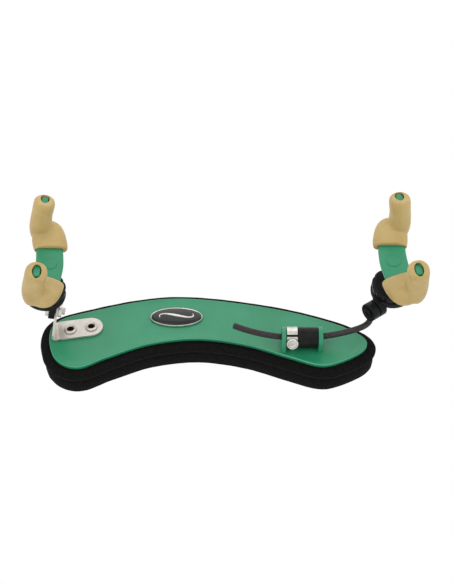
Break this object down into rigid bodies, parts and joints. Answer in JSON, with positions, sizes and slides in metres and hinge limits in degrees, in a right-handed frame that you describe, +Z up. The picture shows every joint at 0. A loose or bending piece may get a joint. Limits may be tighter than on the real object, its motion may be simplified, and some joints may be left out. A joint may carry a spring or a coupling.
{
  "type": "violin shoulder rest",
  "caption": "Foam-backed kidney-shaped shoulder rest with a rubber-tipped fork at each end; one fork tilts on a sheet bracket, the other on a clamped curved rod.",
  "frame": {"origin": "on the foam's underside, under the middle of the plate, with the forks' bars about 102 mm to each side", "axes": "+X along the plate towards the rod's fork, +Y towards the plate's convex edge, +Z up from the foam to the forks"},
  "size_m": [0.2408, 0.0716, 0.1061],
  "materials": {
    "foam": "open-cell foam, matte",
    "green_plastic": "glossy moulded",
    "black_plastic": "semi-gloss",
    "rod_coat": "black coated",
    "bright_steel": "nickel-plated",
    "badge_black": "polished dome",
    "rubber": "amber, satin"
  },
  "bodies": {
    "plate": {"foam_pad": "foam", "foam_top_layer": "foam", "base_plate": "green_plastic", "badge_bezel": "bright_steel", "badge_dome": "badge_black", "side_bracket": "bright_steel", "bracket_eyelet_1": "bright_steel", "bracket_eyelet_2": "bright_steel", "left_pivot_bolt": "bright_steel", "left_pivot_nut": "bright_steel"},
    "clamp": {"clamp_sleeve": "black_plastic", "clamp_band": "bright_steel"},
    "clamp_screw": {"clamp_screw": "bright_steel"},
    "rod": {"adjusting_rod": "rod_coat", "rod_eye": "black_plastic", "hinge_screw": "bright_steel", "hinge_nut": "bright_steel"},
    "left_carrier": {"left_carrier": "black_plastic"},
    "left_wheel": {"left_height_wheel": "black_plastic"},
    "left_post": {"left_post": "black_plastic"},
    "left_fork": {"left_fork_bar": "green_plastic", "left_hub": "black_plastic", "left_near_boot": "rubber", "left_far_boot": "rubber"},
    "right_carrier": {"right_carrier": "black_plastic"},
    "right_wheel": {"right_height_wheel": "black_plastic"},
    "right_post": {"right_post": "black_plastic"},
    "right_fork": {"right_fork_bar": "green_plastic", "right_hub": "black_plastic", "right_near_boot": "rubber", "right_far_boot": "rubber"}
  },
  "joints": [
    {"name": "clamp_roll", "type": "hinge", "parent": "plate", "child": "clamp", "pos_m": [0.045, -0.0139, 0.0253], "axis": [1, 0, 0], "range_deg": [-20, 20]},
    {"name": "clamp_screw_turn", "type": "hinge", "parent": "clamp", "child": "clamp_screw", "pos_m": [0.0403, -0.0139, 0.0253], "axis": [0, -0.9563, 0.2924], "range_deg": [-90, 180]},
    {"name": "rod_slide", "type": "hinge", "parent": "clamp", "child": "rod", "pos_m": [0.045, -0.0139, 0.1103], "axis": [0, 1, 0], "range_deg": [-14, 9]},
    {"name": "right_tilt", "type": "hinge", "parent": "rod", "child": "right_carrier", "pos_m": [0.0922, -0.0046, 0.042], "axis": [0.788, 0.6157, 0], "range_deg": [-20, 25]},
    {"name": "left_tilt", "type": "hinge", "parent": "plate", "child": "left_carrier", "pos_m": [-0.1042, 0.0032, 0.03217], "axis": [0.9724, 0, -0.2334], "range_deg": [-20, 20]},
    {"name": "left_wheel_turn", "type": "hinge", "parent": "left_carrier", "child": "left_wheel", "pos_m": [-0.1043, -0.0015, 0.0746], "axis": [0.2319, -0.1132, 0.9661], "range_deg": [-720, 1440]},
    {"name": "left_post_lift", "type": "slide", "parent": "left_carrier", "child": "left_post", "axis": [0.2319, -0.1132, 0.9661], "range_m": [-0.002, 0.004]},
    {"name": "left_fork_swivel", "type": "hinge", "parent": "left_post", "child": "left_fork", "pos_m": [-0.1043, -0.0015, 0.0746], "axis": [0.2319, -0.1132, 0.9661], "range_deg": [-45, 45]},
    {"name": "right_wheel_turn", "type": "hinge", "parent": "right_carrier", "child": "right_wheel", "pos_m": [0.0991, -0.0015, 0.0767], "axis": [-0.0742, -0.1478, 0.9862], "range_deg": [-720, 1440]},
    {"name": "right_post_lift", "type": "slide", "parent": "right_carrier", "child": "right_post", "axis": [-0.0742, -0.1478, 0.9862], "range_m": [-0.002, 0.004]},
    {"name": "right_fork_swivel", "type": "hinge", "parent": "right_post", "child": "right_fork", "pos_m": [0.0991, -0.0015, 0.0767], "axis": [-0.0742, -0.1478, 0.9862], "range_deg": [-45, 45]}
  ],
  "couplings": [
    {"joint": "left_post_lift", "follows": "left_wheel_turn", "m_per_rad": 0.00015915},
    {"joint": "right_post_lift", "follows": "right_wheel_turn", "m_per_rad": 0.00015915}
  ]
}
